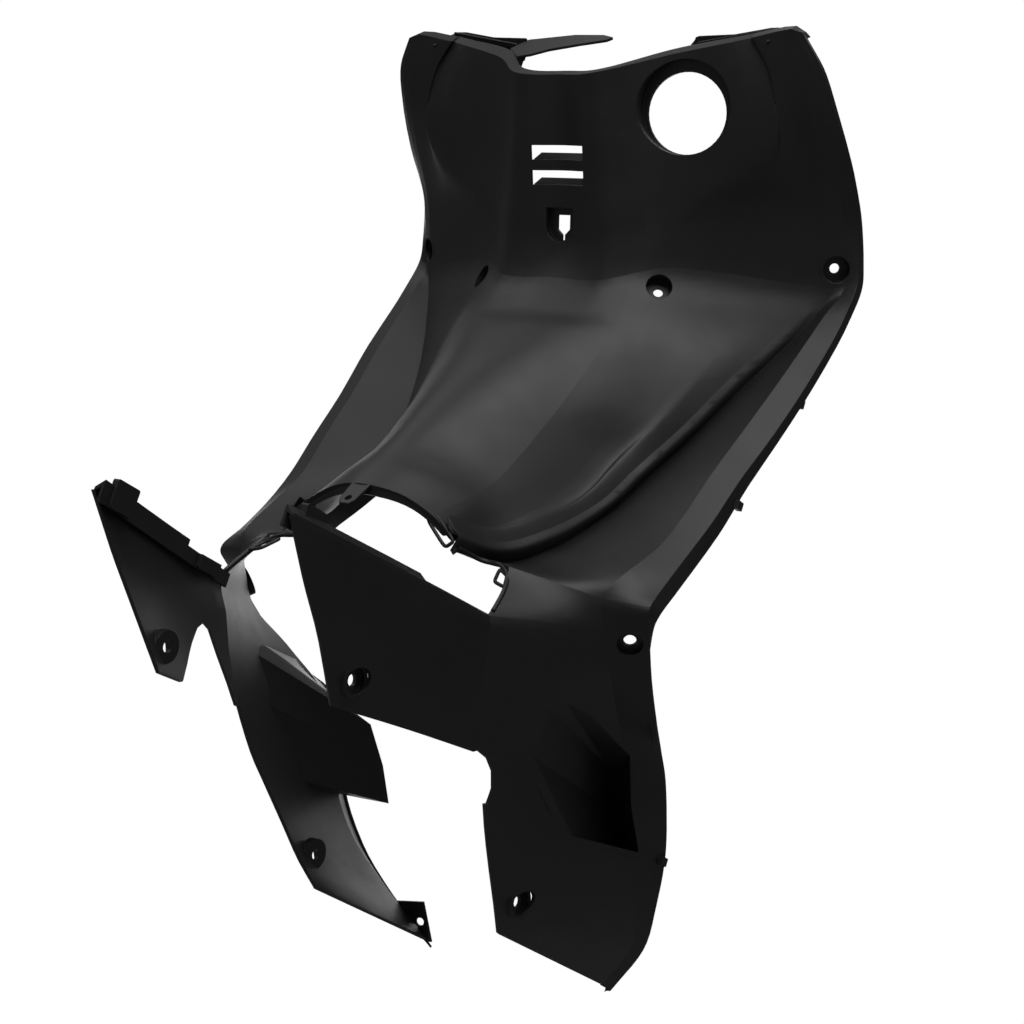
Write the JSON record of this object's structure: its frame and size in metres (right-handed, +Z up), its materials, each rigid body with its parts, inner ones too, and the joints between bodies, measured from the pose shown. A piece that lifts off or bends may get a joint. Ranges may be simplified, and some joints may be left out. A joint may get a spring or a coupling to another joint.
{
  "type": "scooter leg shield",
  "caption": "Moulded scooter leg shield with a centre tunnel, folded side wings, screw recesses, a gauge hole and side skirts under the floor line.",
  "frame": {"origin": "bottom centre of the moulding's bounding box", "axes": "+X to the rider's right, +Y forward, +Z up as fitted; the rider's side of the shield faces -Y"},
  "size_m": [0.4082, 0.5048, 0.68],
  "materials": {
    "shell": "satin fine-grained black moulding"
  },
  "bodies": {
    "root": {"leg_shield": "shell"}
  },
  "joints": []
}
